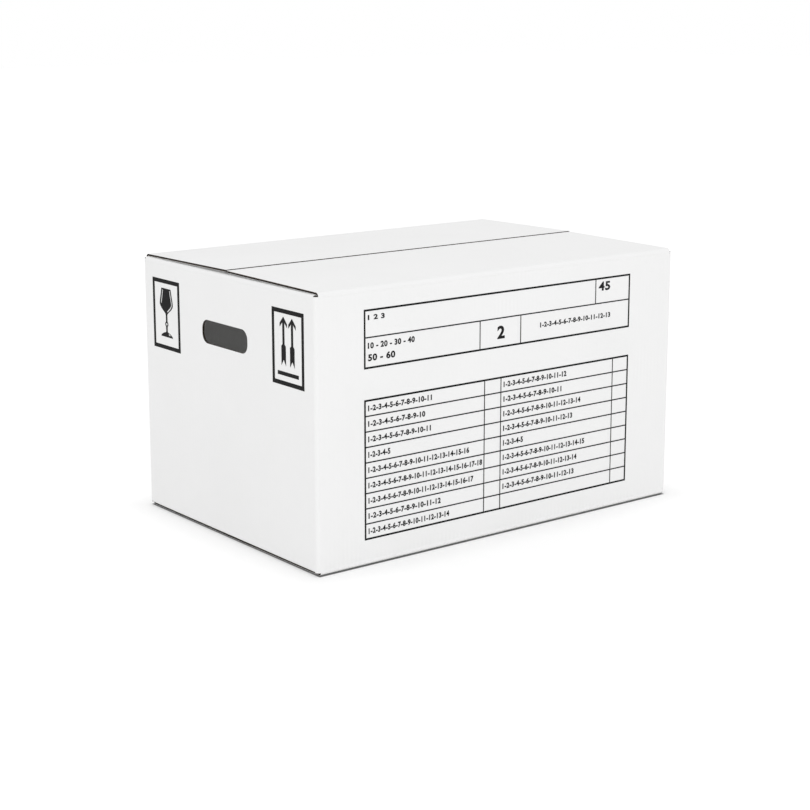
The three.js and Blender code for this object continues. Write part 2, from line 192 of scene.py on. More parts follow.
class Board:
    """Gathers grids of points as quads, each with a finish and the place across and along the flutes."""

    def __init__(self):
        self.points, self.faces, self.finishes, self.flutes = [], [], [], []
        self.count = 0

    def add(self, points, faces, finish, flutes):
        """Adds points, and faces as rows of corner numbers, which move up by the count so far."""
        self.points.append(points.reshape(-1, 3))
        self.flutes.append(flutes.reshape(-1, 2))
        self.faces += (np.asarray(faces) + self.count).tolist()
        self.finishes.append(np.broadcast_to(finish, len(faces)))
        self.count += points.size // 3

    def grid(self, points, finish, facing, flutes):
        """Quads over rows and columns of points. Where the cross products of their edges point against
        the given way, the corners' order is turned round."""
        rows, columns = points.shape[:2]
        index = np.arange(rows * columns).reshape(rows, columns)
        corners = [index[:-1, :-1], index[1:, :-1], index[1:, 1:], index[:-1, 1:]]
        quads = np.stack(corners, -1).reshape(-1, 4)
        edge_a = points[1:, :-1] - points[:-1, :-1]
        edge_b = points[:-1, 1:] - points[:-1, :-1]
        normal = np.cross(edge_a, edge_b)
        if (normal * np.broadcast_to(facing, points.shape)[:-1, :-1]).sum() < 0:
            quads = quads[:, ::-1]
        if np.ndim(finish) == 1:
            finish = np.repeat(finish, columns - 1)
        self.add(points, quads, finish, flutes)

    def rim(self, outer, inner, inward, flutes, white_edges=True):
        """A cut edge between lines of the outer and the inner face. Each row of points lies at a share of
        the way between them, moved inward by a depth: both papers come flush to the cut, the fluted
        paper shows as a wavy line, and between them the cut goes in as the flutes do. The hollows take the
        cut's dark colour, painted shade, and without white edges the papers' own edges are painted that
        same shade too."""
        gap = LINER / BOARD
        half = MEDIUM / 2 / BOARD
        middle = medium_place(flutes[:, 0])
        above = np.clip(middle - half, gap, 1 - gap)
        below = np.clip(middle + half, gap, 1 - gap)
        flat = np.ones(len(outer))
        near, far = gap * flat, (1 - gap) * flat
        shares = np.stack([0 * flat, near, near, above, above, below, below, far, far, flat])
        papers, hollow, medium = [0, 0], [CUT_DEPTH, CUT_DEPTH], [MEDIUM_SET_BACK, MEDIUM_SET_BACK]
        depths = np.array(papers + hollow + medium + hollow + papers)
        points = outer + (inner - outer) * shares[..., None] + inward * depths[:, None, None]
        finish = np.array([CUT, CUT, CUT, CUT, FLUTING, CUT, CUT, CUT, CUT])
        if white_edges:
            finish[0], finish[-1] = OUTSIDE, INSIDE
        flutes = np.broadcast_to(flutes, (len(depths), *flutes.shape))
        self.grid(points, finish, -np.asarray(inward), flutes)

    def folded_panel(self, across, section, place, quarter_turns, holes=()):
        """Outer and inner faces of a panel: the points of its section carried across, and for the inner
        face each moved in along its normal by the board's thickness. The faces are straight across, so
        they have few columns. The lines that the cuts start from are returned with all of them."""
        points, normals = section
        along = np.concatenate([[0], np.cumsum(np.linalg.norm(np.diff(points, axis=0), axis=1))])

        def carried(columns, plan, offset=0.0):
            grid = np.zeros((len(plan), len(columns), 3))
            grid[..., 0] = columns
            grid[..., 1] = plan[:, :1] - offset
            grid[..., 2] = plan[:, 1:]
            return turned(grid, quarter_turns)

        outer_plan, inner_plan = points, points - normals * BOARD
        few = np.linspace(across[0], across[-1], FACE_COLUMNS)
        facing = carried(0 * few, normals)
        few_flutes = np.stack(np.meshgrid(few, along), -1)
        starts = [0] + [high for low, high in holes]
        ends = [low for low, high in holes] + [len(points) - 1]
        for low, high in zip(starts, ends):
            part = slice(low, high + 1)
            self.grid(carried(few, outer_plan[part], place), OUTSIDE, facing[part], few_flutes[part])
            self.grid(carried(few, inner_plan[part], place), INSIDE, -facing[part], few_flutes[part])
        flutes = np.stack(np.meshgrid(across, along), -1)
        return carried(across, outer_plan, place), carried(across, inner_plan, place), flutes

    def mesh(self, name, materials):
        """One mesh of all that was gathered. Outer and inner faces are shaded smooth, and cuts flat."""
        points = np.concatenate(self.points) * MM
        flutes = np.concatenate(self.flutes)
        finishes = np.concatenate(self.finishes)
        mesh = bpy.data.meshes.new(name)
        mesh.from_pydata(points.tolist(), [], self.faces)
        mesh.polygons.foreach_set("material_index", finishes.astype(np.int32))
        layer = mesh.attributes.new("flutes", "FLOAT_VECTOR", "POINT")
        layer.data.foreach_set("vector", np.column_stack([flutes, np.zeros(len(flutes))]).ravel())
        for material in materials:
            mesh.materials.append(material)
        mesh.update()
        mesh.validate()
        mesh.polygons.foreach_set("use_smooth", (finishes < CUT))
        mesh.update()
        piece = bpy.data.objects.new(name, mesh)
        bpy.context.scene.collection.objects.link(piece)
        return piece


def side_cuts(board, outer, inner, flutes, rows, quarter_turns):
    """The cuts along both sides of a flap: rims over the given rows of its first and last columns."""
    for column, way in ((0, 1.0), (-1, -1.0)):
        inward = turned(way * ALONG, quarter_turns)
        board.rim(outer[rows, column], inner[rows, column], inward, flutes[rows, column])


def long_section():
    """Section of a long panel as (inward, height): straight from its bottom flap's tip, a quarter arc
    round the crease, and straight up to the top fold."""
    r = CREASE_RADIUS
    top = HEIGHT - SLOT_DEPTH
    grooves = [PANEL_GROOVE_LOW, top - LOW_SLOT - PANEL_GROOVE_HIGH]
    return path(
        straight((OUTER_FLAP, 0), (r, EDGE_CLEAR), (0, -1), [OUTER_FLAP - r - GROOVE_OFFSET]),
        arc((r, r + EDGE_CLEAR), r, -90, -180, FOLD_STEPS),
        straight((0, LOW_SLOT), (0, top), (-1, 0), grooves),
    )


def end_section():
    """Section of an end panel as (inward, height): straight from its bottom flap's tip, a quarter arc,
    up the wall with a gap for the hand hole's band, a quarter arc, and over to its top flap's tip."""
    r = CREASE_RADIUS
    low = LOW_FOLD
    high = CREASE_TOP
    hole_low = HOLE_CENTRE_Z - HOLE_MARGIN
    hole_high = HOLE_CENTRE_Z + HOLE_MARGIN
    return path(
        straight((INNER_FLAP, low), (r, low), (0, -1), [INNER_FLAP - r - GROOVE_OFFSET]),
        arc((r, low + r), r, -90, -180, FOLD_STEPS),
        straight((0, low + r), (0, hole_low), (-1, 0), [GROOVE_OFFSET]),
        straight((0, hole_high), (0, high - r), (-1, 0), [high - r - hole_high - GROOVE_OFFSET]),
        arc((r, high - r), r, 180, 90, FOLD_STEPS),
        straight((r, high), (INNER_FLAP, high), (0, 1), [GROOVE_OFFSET]),
    )


def rows_between(section, low, high):
    """Row numbers of a section whose points' heights lie between two heights, both counted in."""
    height = section[0][:, 1]
    return np.nonzero((height >= low - SAME) & (height <= high + SAME))[0]


def hole_outline(steps):
    """Rounded outline of a hand hole as (across, height), anticlockwise, with its outward normals: quarter
    arcs about the four corners' centres, joined up, and read off at even steps along the whole way round."""
    side_across = np.array([1, -1, -1, 1])[:, None]
    side_up = np.array([1, 1, -1, -1])[:, None]
    angle = np.radians(90 * (np.arange(4)[:, None] + np.linspace(0, 1, steps + 1)))
    across = side_across * (HOLE_HALF_LENGTH - HOLE_RADIUS) + HOLE_RADIUS * np.cos(angle)
    height = HOLE_CENTRE_Z + side_up * (HOLE_HALF_HEIGHT - HOLE_RADIUS) + HOLE_RADIUS * np.sin(angle)
    round_trip = np.stack([across, height, np.cos(angle), np.sin(angle)], -1).reshape(-1, 4)
    round_trip = np.vstack([round_trip, round_trip[:1]])
    way = np.concatenate([[0], np.cumsum(np.hypot(*np.diff(round_trip[:, :2], axis=0).T))])
    places = np.linspace(0, way[-1], int(way[-1] / FLUTE_PITCH * STEPS_IN_FLUTE) + 1)[:-1]
    found = np.column_stack([np.interp(places, way, column) for column in round_trip.T])
    return found[:, :2], found[:, 2:]


def ring_edges(first, count):
    """Pairs of neighbouring corner numbers round a ring of that count, which starts at the first."""
    along = np.arange(count)
    return np.column_stack([first + along, first + (along + 1) % count]).tolist()


def band_triangles(across, hole):
    """Flat triangles between the band's outline and the hole's. Those whose centre lies nearer to the
    rectangle of the arcs' centres than the arcs' radius are in the hole and are left out."""
    low, high = HOLE_CENTRE_Z - HOLE_MARGIN, HOLE_CENTRE_Z + HOLE_MARGIN
    below = np.column_stack([across, np.full(len(across), low)])
    above = np.column_stack([across[::-1], np.full(len(across), high)])
    corners = np.vstack([below, above, hole])
    edges = ring_edges(0, 2 * len(across)) + ring_edges(2 * len(across), len(hole))
    found = delaunay_2d_cdt([Vector(corner) for corner in corners], edges, [], 0, SAME)
    flat = np.array([tuple(corner) for corner in found[0]])
    triangles = np.array([face for face in found[2] if len(face) == 3])
    centre = flat[triangles].mean(1)
    reach_across = np.maximum(np.abs(centre[:, 0]) - (HOLE_HALF_LENGTH - HOLE_RADIUS), 0)
    reach_up = np.maximum(np.abs(centre[:, 1] - HOLE_CENTRE_Z) - (HOLE_HALF_HEIGHT - HOLE_RADIUS), 0)
    outside = np.hypot(reach_across, reach_up) > HOLE_RADIUS - ARC_SLACK
    return flat, triangles[outside]


def hand_hole(board, across, quarter_turns):
    """The band of an end panel round a hand hole, outside and inside, and the cut through it: the hole's
    outline set at the panel's two faces, with a rim between."""
    hole, normals = hole_outline(HOLE_ARC_STEPS)
    flat, triangles = band_triangles(across, hole)
    outward = turned(-BACKWARD, quarter_turns)
    for finish, depth, facing in ((OUTSIDE, 0.0, outward), (INSIDE, BOARD, -outward)):
        points = np.column_stack([flat[:, 0], np.full(len(flat), depth - HALF_LENGTH), flat[:, 1]])
        points = turned(points, quarter_turns)
        normal = np.cross(
            points[triangles[:, 1]] - points[triangles[:, 0]],
            points[triangles[:, 2]] - points[triangles[:, 0]],
        )
        turned_round = (normal @ facing) < 0
        corners = np.where(turned_round[:, None], triangles[:, ::-1], triangles)
        board.add(points, corners, finish, np.column_stack([flat[:, 0], flat[:, 1] + INNER_FLAP]))
    closed = np.vstack([hole, hole[:1]])
    closed_normals = np.vstack([normals, normals[:1]])
    outer = np.column_stack([closed[:, 0], np.full(len(closed), -HALF_LENGTH), closed[:, 1]])
    inner = outer + BOARD * BACKWARD
    into = np.column_stack([closed_normals[:, 0], np.zeros(len(closed)), closed_normals[:, 1]])
    flutes = np.column_stack([closed[:, 0], closed[:, 1] + INNER_FLAP])
    outer, inner, into = (turned(line, quarter_turns) for line in (outer, inner, into))
    # The hole's cut is dark all round, the papers' edges too: painted shade
    board.rim(outer, inner, into, flutes, white_edges=False)


def upright_fold(board, centre, radius, start, across_start, heights):
    """An upright fold between two panels: a quarter arc in plan, outside and one board's thickness in,
    carried up through the heights, with the cut ends that the slots leave."""
    points, normals = arc(centre, radius, start, start + 90, FOLD_STEPS)
    across = across_start + np.radians(90) * radius * np.linspace(0, 1, FOLD_STEPS + 1)
    flutes = np.stack(np.meshgrid(across, heights + INNER_FLAP), -1)
    grids = []
    for finish, depth, way in ((OUTSIDE, 0.0, 1), (INSIDE, BOARD, -1)):
        plan = points - normals * depth
        grid = np.zeros((len(heights), len(points), 3))
        grid[..., :2] = plan
        grid[..., 2] = heights[:, None]
        facing = np.zeros_like(grid)
        facing[..., :2] = normals * way
        board.grid(grid, finish, facing, flutes)
        grids.append(grid)
    board.rim(grids[0][0], grids[1][0], UPWARD, flutes[0])
    board.rim(grids[0][-1], grids[1][-1], -UPWARD, flutes[-1])


def carton_board():
    """Everything that stays folded: both sections carried across their panels, with their cuts and hand
    holes, and then the upright folds, the raw edge and the glued tab."""
    board = Board()
    across_long = flute_lines(-PANEL_HALF_X, PANEL_HALF_X)
    section = long_section()
    flap_rows = rows_between(section, 0, LOW_SLOT)
    for turns in (0, 2):
        outer, inner, flutes = board.folded_panel(across_long, section, HALF_DEPTH, turns)
        side_cuts(board, outer, inner, flutes, flap_rows, turns)
        board.rim(outer[0], inner[0], turned(-BACKWARD, turns), flutes[0])

    section = end_section()
    low_rows = rows_between(section, 0, LOW_FOLD + CREASE_RADIUS)
    high_rows = rows_between(section, CREASE_TOP - CREASE_RADIUS, HEIGHT)
    hole_rows = rows_between(section, HOLE_CENTRE_Z - HOLE_MARGIN, HOLE_CENTRE_Z + HOLE_MARGIN)
    tab_fold_y = TAB_FACE - TAB_FOLD_RADIUS
    for turns, low, high in ((3, -PANEL_HALF_Y, PANEL_HALF_Y), (1, -PANEL_HALF_Y, tab_fold_y)):
        across_end = flute_lines(low, high)
        outer, inner, flutes = board.folded_panel(
            across_end, section, HALF_LENGTH, turns, [(hole_rows[0], hole_rows[-1])])
        for rows in (low_rows, high_rows):
            side_cuts(board, outer, inner, flutes, rows, turns)
        for row in (0, -1):
            board.rim(outer[row], inner[row], turned(-BACKWARD, turns), flutes[row])
        hand_hole(board, np.linspace(low, high, FACE_COLUMNS), turns)

    low_crease, high_crease = LOW_FOLD + CREASE_RADIUS, CREASE_TOP - CREASE_RADIUS
    heights = np.array([LOW_SLOT, low_crease, high_crease, HEIGHT - SLOT_DEPTH])
    corners = [
        ((-PANEL_HALF_X, -PANEL_HALF_Y), 180), ((PANEL_HALF_X, -PANEL_HALF_Y), 270),
        ((-PANEL_HALF_X, PANEL_HALF_Y), 90),
    ]
    for centre, start in corners:
        upright_fold(board, centre, CORNER_RADIUS, start, PANEL_HALF_X, heights)
    tab_fold = (HALF_LENGTH - TAB_FOLD_RADIUS, tab_fold_y)
    upright_fold(board, tab_fold, TAB_FOLD_RADIUS, 0, tab_fold_y, heights)
    raw_edge(board)
    glued_tab(board)
    return board


def raw_edge(board):
    """The rear panel's raw edge at the glued corner: a flat strip that runs on past the flaps at the
    panel's two faces, cut on three sides."""
    high = HEIGHT - SLOT_DEPTH
    across = np.array([PANEL_HALF_X, HALF_LENGTH - PANEL_SHORTFALL])
    heights = np.array([LOW_SLOT, high])
    flutes = np.stack(np.meshgrid(across, heights + INNER_FLAP), -1)
    grids = []
    for finish, y, facing in ((OUTSIDE, HALF_DEPTH, BACKWARD), (INSIDE, HALF_DEPTH - BOARD, -BACKWARD)):
        grid = np.zeros((2, 2, 3))
        grid[..., 0] = across
        grid[..., 1] = y
        grid[..., 2] = heights[:, None]
        board.grid(grid, finish, facing, flutes)
        grids.append(grid)
    board.rim(grids[0][0], grids[1][0], UPWARD, flutes[0])
    board.rim(grids[0][1], grids[1][1], -UPWARD, flutes[1])
    board.rim(grids[0][:, 1], grids[1][:, 1], -ALONG, flutes[:, 1])


def glued_tab(board):
    """The tab inside the rear panel: a flat strip whose low end rises, and whose high end falls, by the
    share of the way from root to tip times a slope."""
    root = HALF_LENGTH - TAB_FOLD_RADIUS
    tip = HALF_LENGTH - BOARD - TAB_WIDTH
    low = BOARD + LAYER_GAP + BOARD + TAB_TRIM
    high = CREASE_TOP - BOARD - TAB_TRIM
    across = flute_lines(tip, root)
    slope = (root - across) / (root - tip) * TAB_SLOPE
    grids = []
    flutes = np.stack(np.meshgrid(across, [low, high]), -1)
    for finish, y, facing in ((OUTSIDE, TAB_FACE, BACKWARD), (INSIDE, TAB_FACE - BOARD, -BACKWARD)):
        grid = np.zeros((2, len(across), 3))
        grid[..., 0] = across
        grid[..., 1] = y
        grid[0, :, 2] = low + slope
        grid[1, :, 2] = high - slope
        board.grid(grid, finish, facing, flutes)
        grids.append(grid)
    board.rim(grids[0][0], grids[1][0], UPWARD, flutes[0])
    board.rim(grids[0][1], grids[1][1], -UPWARD, flutes[1])
    board.rim(grids[0][:, 0], grids[1][:, 0], ALONG, flutes[:, 0])


def lifted(points, lift):
    """Points of the closed top, raised by the lift times the share of the way from fold to seam."""
    out = np.array(points, float)
    reach = HALF_DEPTH - np.abs(out[..., 1])
    out[..., 2] += lift * reach / OUTER_FLAP
    return out


def top_flap(turns):
    """An outer top flap: straight from the end of its fold to the seam, cut on three sides."""
    section = straight((TOP_FOLD_RADIUS, HEIGHT), (OUTER_FLAP, HEIGHT), (0, 1), [PANEL_GROOVE_HIGH])
    return strip_of_board(section, turns, True)


def top_fold(turns):
    """The bent board between a long panel and its top flap: a quarter arc, cut at both ends."""
    centre = (TOP_FOLD_RADIUS, HEIGHT - TOP_FOLD_RADIUS)
    section = arc(centre, TOP_FOLD_RADIUS, 180, 90, 2 * FOLD_STEPS)
    return strip_of_board(section, turns, False)


def strip_of_board(section, turns, has_tip):
    """A strip of the top: its section carried across, with side cuts and, on a flap, the cut at its tip,
    and then all of it lifted towards the seam."""
    across = flute_lines(-PANEL_HALF_X, PANEL_HALF_X)
    part = Board()
    outer, inner, flutes = part.folded_panel(across, section, HALF_DEPTH, turns)
    side_cuts(part, outer, inner, flutes, np.arange(len(section[0])), turns)
    if has_tip:
        # The tip's cut is dark all round, the papers' edges too: painted shade
        part.rim(outer[-1], inner[-1], turned(-BACKWARD, turns), flutes[-1], white_edges=False)
    part.points = [lifted(points, SEAM_LIFT[1 if turns else 0]) for points in part.points]
    return part


# Materials

# Noise scales are counts in a metre, depths are millimetres, and colours are linear
PAPER_CLOUD_SCALE = 9.0
PAPER_GRAIN_SCALE = 520.0
PAPER_GRAIN_DEPTH = 0.06
ROUGHNESS_SPREAD = 0.06
SPECK_SCALE = 900.0
SPECK_FROM, SPECK_FULL = 0.73, 0.8
SPECK_COLOUR = (0.35, 0.3, 0.24)
INK_CLOUD_SCALE = 40.0
INK_GRAIN_SCALE = 700.0
INK_GRAIN_DEPTH = 0.05
INK_FULL = (0.005, 0.005, 0.0053)
INK_THIN = (0.013, 0.013, 0.0134)

# Papers in the order of the finishes: name, colour, shade, roughness, strength of specks, height of wave
PAPERS = (
    ("white_liner", (0.9, 0.9, 0.9), (0.86, 0.86, 0.858), 0.72, 0.03, 0.02),
    ("pale_inner_liner", (0.9, 0.898, 0.89), (0.87, 0.868, 0.86), 0.8, 0.2, 0.05),
    # The cut's colours are far darker than kraft paper's own: painted shade in the cut's hollows
    ("cut_fluting", (0.042, 0.032, 0.024), (0.027, 0.02, 0.015), 0.95, 0.0, 0.0),
    ("fluting_paper", (0.19, 0.137, 0.095), (0.12, 0.086, 0.06), 0.95, 0.0, 0.0),
)


def new_material(name):
    """A new material, with its node tree and its one Principled BSDF."""
    material = bpy.data.materials.new(name)
    material.use_nodes = True
    tree = material.node_tree
    shader = tree.nodes["Principled BSDF"]
    return material, tree, shader


def value_node(tree, kind, **settings):
    """A new node with its settings. A name with in_ in front sets the socket of that name."""
    node = tree.nodes.new(kind)
    for key, value in settings.items():
        if key.startswith("in_"):
            node.inputs[key[3:].replace("_", " ")].default_value = value
        else:
            setattr(node, key, value)
    return node


def paper_group():
    """Paper fibre as values over the surface: two noises for cloudy tone and fine grain, and rare specks
    where a third, very fine noise comes near its top."""
    group = bpy.data.node_groups.new("paper_fibre", "ShaderNodeTree")
    group.interface.new_socket("Cloud Scale", in_out="INPUT", socket_type="NodeSocketFloat")
    group.interface.new_socket("Grain Scale", in_out="INPUT", socket_type="NodeSocketFloat")
    group.interface.new_socket("Cloud", in_out="OUTPUT", socket_type="NodeSocketFloat")
    group.interface.new_socket("Grain", in_out="OUTPUT", socket_type="NodeSocketFloat")
    group.interface.new_socket("Speck", in_out="OUTPUT", socket_type="NodeSocketFloat")
    start = group.nodes.new("NodeGroupInput")
    end = group.nodes.new("NodeGroupOutput")
    place = group.nodes.new("ShaderNodeTexCoord")
    cloud = value_node(group, "ShaderNodeTexNoise", in_Detail=4.0, in_Roughness=0.55)
    grain = value_node(group, "ShaderNodeTexNoise", in_Detail=3.0, in_Roughness=0.7)
    speck = value_node(group, "ShaderNodeTexNoise", in_Scale=SPECK_SCALE, in_Detail=1.0)
    ramp = value_node(group, "ShaderNodeMapRange", in_From_Min=SPECK_FROM, in_From_Max=SPECK_FULL)
    link = group.links.new
    for node in (cloud, grain, speck):
        link(place.outputs["Object"], node.inputs["Vector"])
    link(start.outputs["Cloud Scale"], cloud.inputs["Scale"])
    link(start.outputs["Grain Scale"], grain.inputs["Scale"])
    link(speck.outputs["Fac"], ramp.inputs["Value"])
    link(cloud.outputs["Fac"], end.inputs["Cloud"])
    link(grain.outputs["Fac"], end.inputs["Grain"])
    link(ramp.outputs["Result"], end.inputs["Speck"])
    return group


def washboard_group():
    """Washboard: the height of the liner over the flutes, the cosine of a full turn in each pitch."""
    group = bpy.data.node_groups.new("flute_washboard", "ShaderNodeTree")
    group.interface.new_socket("Pitch", in_out="INPUT", socket_type="NodeSocketFloat")
    group.interface.new_socket("Height", in_out="OUTPUT", socket_type="NodeSocketFloat")
    start = group.nodes.new("NodeGroupInput")
    end = group.nodes.new("NodeGroupOutput")
    place = value_node(group, "ShaderNodeAttribute", attribute_name="flutes")
    split = group.nodes.new("ShaderNodeSeparateXYZ")
    turns = value_node(group, "ShaderNodeMath", operation="DIVIDE")
    angle = value_node(group, "ShaderNodeMath", operation="MULTIPLY")
    angle.inputs[1].default_value = 2 * math.pi
    wave = value_node(group, "ShaderNodeMath", operation="COSINE")
    link = group.links.new
    link(place.outputs["Vector"], split.inputs["Vector"])
    link(split.outputs["X"], turns.inputs[0])
    link(start.outputs["Pitch"], turns.inputs[1])
    link(turns.outputs["Value"], angle.inputs[0])
    link(angle.outputs["Value"], wave.inputs[0])
    link(wave.outputs["Value"], end.inputs["Height"])
    return group


def paper_material(name, colour, shade, roughness, specks, wave, fibre, washboard):
    """Paper: a colour that clouds towards a shade, with rare specks of a given strength, roughness that
    varies with the grain, and bump from the grain and from the washboard's wave, in millimetres."""
    material, tree, shader = new_material(name)
    link = tree.links.new
    paper = tree.nodes.new("ShaderNodeGroup")
    paper.node_tree = fibre
    paper.inputs["Cloud Scale"].default_value = PAPER_CLOUD_SCALE
    paper.inputs["Grain Scale"].default_value = PAPER_GRAIN_SCALE
    clouded = value_node(tree, "ShaderNodeMix", data_type="RGBA")
    clouded.inputs["A"].default_value = (*colour, 1)
    clouded.inputs["B"].default_value = (*shade, 1)
    link(paper.outputs["Cloud"], clouded.inputs["Factor"])
    speck_share = value_node(tree, "ShaderNodeMath", operation="MULTIPLY")
    speck_share.inputs[1].default_value = specks
    link(paper.outputs["Speck"], speck_share.inputs[0])
    specked = value_node(tree, "ShaderNodeMix", data_type="RGBA")
    specked.inputs["B"].default_value = (*SPECK_COLOUR, 1)
    link(clouded.outputs["Result"], specked.inputs["A"])
    link(speck_share.outputs["Value"], specked.inputs["Factor"])
    link(specked.outputs["Result"], shader.inputs["Base Color"])
    rough = value_node(tree, "ShaderNodeMapRange")
    rough.inputs["To Min"].default_value = roughness - ROUGHNESS_SPREAD
    rough.inputs["To Max"].default_value = roughness + ROUGHNESS_SPREAD
    link(paper.outputs["Grain"], rough.inputs["Value"])
    link(rough.outputs["Result"], shader.inputs["Roughness"])
    waves = tree.nodes.new("ShaderNodeGroup")
    waves.node_tree = washboard
    waves.inputs["Pitch"].default_value = FLUTE_PITCH
    wave_bump = value_node(tree, "ShaderNodeBump", in_Strength=1.0, in_Distance=wave * MM)
    link(waves.outputs["Height"], wave_bump.inputs["Height"])
    grain_bump = value_node(tree, "ShaderNodeBump", in_Strength=0.35, in_Distance=PAPER_GRAIN_DEPTH * MM)
    link(paper.outputs["Grain"], grain_bump.inputs["Height"])
    link(wave_bump.outputs["Normal"], grain_bump.inputs["Normal"])
    link(grain_bump.outputs["Normal"], shader.inputs["Normal"])
    return material


def ink_material(fibre):
    """Printed ink: near black, a little uneven where the paper's grain took less of it."""
    material, tree, shader = new_material("printed_ink")
    link = tree.links.new
    paper = tree.nodes.new("ShaderNodeGroup")
    paper.node_tree = fibre
    paper.inputs["Cloud Scale"].default_value = INK_CLOUD_SCALE
    paper.inputs["Grain Scale"].default_value = INK_GRAIN_SCALE
    tone = value_node(tree, "ShaderNodeMix", data_type="RGBA")
    tone.inputs["A"].default_value = (*INK_FULL, 1)
    tone.inputs["B"].default_value = (*INK_THIN, 1)
    link(paper.outputs["Grain"], tone.inputs["Factor"])
    link(tone.outputs["Result"], shader.inputs["Base Color"])
    bump = value_node(tree, "ShaderNodeBump", in_Strength=0.3, in_Distance=INK_GRAIN_DEPTH * MM)
    link(paper.outputs["Grain"], bump.inputs["Height"])
    link(bump.outputs["Normal"], shader.inputs["Normal"])
    shader.inputs["Roughness"].default_value = 0.7
    shader.inputs["Specular IOR Level"].default_value = 0.15
    return material


# Print

INK_DEPTH = 0.2
CHARACTER_SPACE = 1.1
ROW_WEIGHT = 0.038
LARGE_WEIGHT = 0.035


def mesh_of_numbers(body, weight):
    """Plain numbers as a filled mesh in XY, thickened round by a weight, with a front and a back."""
    curve = bpy.data.curves.new("numbers", "FONT")
    curve.body = body
    curve.offset = weight
    curve.space_character = CHARACTER_SPACE
    curve.fill_mode = "BOTH"
    curve.extrude = 0.5
    curve.resolution_u = 4
    holder = bpy.data.objects.new("numbers", curve)
    bpy.context.scene.collection.objects.link(holder)
    mesh = bpy.data.meshes.new_from_object(holder.evaluated_get(bpy.context.evaluated_depsgraph_get()))
    bpy.data.objects.remove(holder)
    bpy.data.curves.remove(curve)
    return mesh


def number_row(body, left, bottom, width, height, weight=ROW_WEIGHT):
    """Points and faces of one printed number row, stretched evenly to fill its box on the long panel:
    a share of the way across and up, with the front side standing proud by the ink's thickness."""
    mesh = mesh_of_numbers(body, weight)
    points = np.zeros(3 * len(mesh.vertices))
    mesh.vertices.foreach_get("co", points)
    points = points.reshape(-1, 3)
    faces = [tuple(polygon.vertices) for polygon in mesh.polygons]
    bpy.data.meshes.remove(mesh)
    low, high = points.min(0), points.max(0)
    across = left + (points[:, 0] - low[0]) / (high[0] - low[0]) * width
    up = bottom + (points[:, 1] - low[1]) / (high[1] - low[1]) * height
    out = np.where(points[:, 2] > 0, INK_DEPTH, 0.0)
    return np.column_stack([across, -HALF_DEPTH - out, up]), faces


def number_print(name, rows):
    """One piece of ink from several rows of numbers."""
    points, faces, count = [], [], 0
    for row in rows:
        row_points, row_faces = number_row(*row)
        points.append(row_points)
        faces += [tuple(corner + count for corner in face) for face in row_faces]
        count += len(row_points)
    mesh = bpy.data.meshes.new(name)
    mesh.from_pydata((np.concatenate(points) * MM).tolist(), [], faces)
    mesh.update()
    piece = bpy.data.objects.new(name, mesh)
    bpy.context.scene.collection.objects.link(piece)
    return piece


def counting(last):
    """The counting numbers up to the last, with a dash between them."""
    return "-".join(str(i) for i in range(1, last + 1))


# The list's height and rows, and the left edge, width and last number of the print in each row of
# both name columns
LIST_HIGH, LIST_LOW = 209.5, 34.2
LIST_ROWS = 9
LIST_TEXT_HEIGHT = 7.6
FIRST_NAME_LEFT = -222.6
FIRST_NAMES = (
    (99.5, 11), (89.0, 10), (98.0, 11), (34.0, 5), (161.0, 16), (182.9, 18), (168.5, 17), (114.5, 12),
    (128.5, 14),
)
SECOND_NAME_LEFT = -4.3
SECOND_NAMES = (
    (110.0, 12), (101.5, 11), (136.5, 14), (122.0, 13), (34.5, 5), (145.0, 15), (131.3, 14), (126.5, 13),
)


def list_numbers():
    """Number rows in the two name columns of the list, each centred in its row by an even pitch."""
    pitch = (LIST_HIGH - LIST_LOW) / LIST_ROWS
    rows = []
    for left, names in ((FIRST_NAME_LEFT, FIRST_NAMES), (SECOND_NAME_LEFT, SECOND_NAMES)):
        for row, (width, last) in enumerate(names):
            middle = LIST_HIGH - (row + 0.5) * pitch
            bottom = middle - LIST_TEXT_HEIGHT / 2
            rows.append((counting(last), left, bottom, width, LIST_TEXT_HEIGHT))
    return rows


def header_numbers():
    """Numbers in the header's cells: what they say, left, bottom, width, height and, if large, weight."""
    return [
        ("1 2 3", -222.4, 309.0, 25.5, 6.3),
        ("45", 161.8, 304.2, 21.0, 12.2, LARGE_WEIGHT),
        ("10 - 20 - 30 - 40", -222.5, 273.6, 72.0, 7.6),
        ("50 - 60", -222.3, 258.2, 41.5, 8.8),
        ("2", -16.0, 260.6, 12.6, 17.0, LARGE_WEIGHT),
        (counting(13), 57.5, 267.0, 126.5, 7.0),
    ]


# Stage

CAMERA_PLACE = (-1.50504, -1.91701, 0.70899)
CAMERA_YAW = math.radians(37.958)
CAMERA_PITCH = math.radians(11.992)
CAMERA_LENS = 80.409
CAMERA_SHIFT_DOWN = 40 / 810

# Lamps: places in metres, sizes in metres and powers in watts
KEY_PLACE = (-2.6, -5.2, 2.4)
KEY_TARGET = (0, 0, 0.2)
KEY_SIZE = 3.2
KEY_POWER = 42
GLOW_PLACE = (0, 0, 0.12)
GLOW_SIZE = 0.08
GLOW_POWER = 0.063

# The world's strength as light, and the floor: its colour, how much the camera sees it lifted towards
# white near the carton and away from it, the smaller lift near it being painted shade round the carton,
# and the painted contact shadow, a dark line where the carton touches it, in metres
WORLD_LEVEL = 0.94
FLOOR_HALF_SIDE = 12.0
FLOOR_COLOUR = 0.92
FLOOR_LIFT_NEAR_PAINTED_SHADE, FLOOR_LIFT_FAR = 0.08, 0.17
FLOOR_LIFT_REACH = 0.06
CONTACT_SHADOW_COLOUR = 0.03
CONTACT_SHADOW_REACH = 0.003
CONTACT_SHADOW_HALF_X = PANEL_HALF_X + 1
CONTACT_SHADOW_HALF_Y = HALF_DEPTH - 0.5


